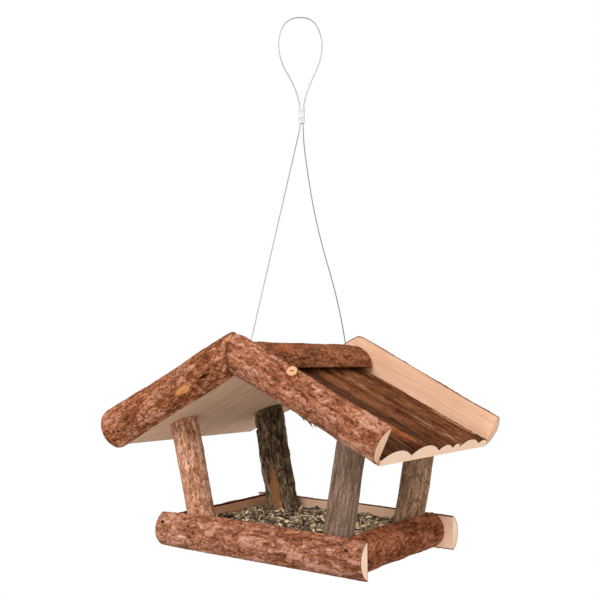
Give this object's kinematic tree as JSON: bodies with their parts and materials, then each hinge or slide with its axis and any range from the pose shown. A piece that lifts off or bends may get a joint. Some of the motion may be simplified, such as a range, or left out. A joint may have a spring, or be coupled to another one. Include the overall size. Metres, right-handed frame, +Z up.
{
  "type": "hanging bird feeder",
  "caption": "Gable-roofed garden bird feeder of bark-covered half logs: an open seed tray on splayed posts under a slab roof, hung on a steel wire with a crimped loop.",
  "frame": {"origin": "middle of the tray's underside", "axes": "+X across the gables to the right, +Y along the ridge from the front gable to the back, +Z up"},
  "size_m": [0.3596, 0.246, 0.573],
  "materials": {
    "flaky_bark": "flaky pine bark outside, pale sawn wood on the flat side and the ends",
    "roof_bark": "dark streaked bark on the back, pale sawn wood below and on the ends",
    "post_bark": "thin bark, from grey-brown to red-brown",
    "floor_board": "plain sawn softwood board",
    "sunflower_seed": "striped black and cream seed shells, satin",
    "wire_steel": "thin galvanised wire",
    "sleeve_aluminium": "bright crimped ferrule",
    "fastener_steel": "plain steel nails and screws"
  },
  "bodies": {
    "house": {"bargeboard_back_left": "flaky_bark", "bargeboard_back_right": "flaky_bark", "bargeboard_brads": "fastener_steel", "bargeboard_front_left": "flaky_bark", "bargeboard_front_right": "flaky_bark", "cap_brads": "fastener_steel", "floor_brads": "fastener_steel", "post_back_left": "post_bark", "post_back_right": "post_bark", "post_front_left": "post_bark", "post_front_right": "post_bark", "post_screws": "fastener_steel", "rail_nails": "fastener_steel", "ridge_cap": "roof_bark", "roof_brads": "fastener_steel", "roof_slab_left_1": "roof_bark", "roof_slab_left_2": "roof_bark", "roof_slab_left_3": "roof_bark", "roof_slab_left_4": "roof_bark", "roof_slab_left_5": "roof_bark", "roof_slab_left_6": "roof_bark", "roof_slab_right_1": "roof_bark", "roof_slab_right_2": "roof_bark", "roof_slab_right_3": "roof_bark", "roof_slab_right_4": "roof_bark", "roof_slab_right_5": "roof_bark", "roof_slab_right_6": "roof_bark", "seed_fill": "sunflower_seed", "tray_back_rail": "flaky_bark", "tray_floor": "floor_board", "tray_front_rail": "flaky_bark", "tray_left_rail": "flaky_bark", "tray_right_rail": "flaky_bark", "wire_under_ridge": "wire_steel"},
    "hanger": {"hanging_wire": "wire_steel", "crimp_sleeve": "sleeve_aluminium"}
  },
  "joints": [
    {"name": "hanger_swing", "type": "hinge", "parent": "house", "child": "hanger", "pos_m": [0, 0, 0.21498], "axis": [0, 1, 0], "range_deg": [-85, 85]}
  ]
}
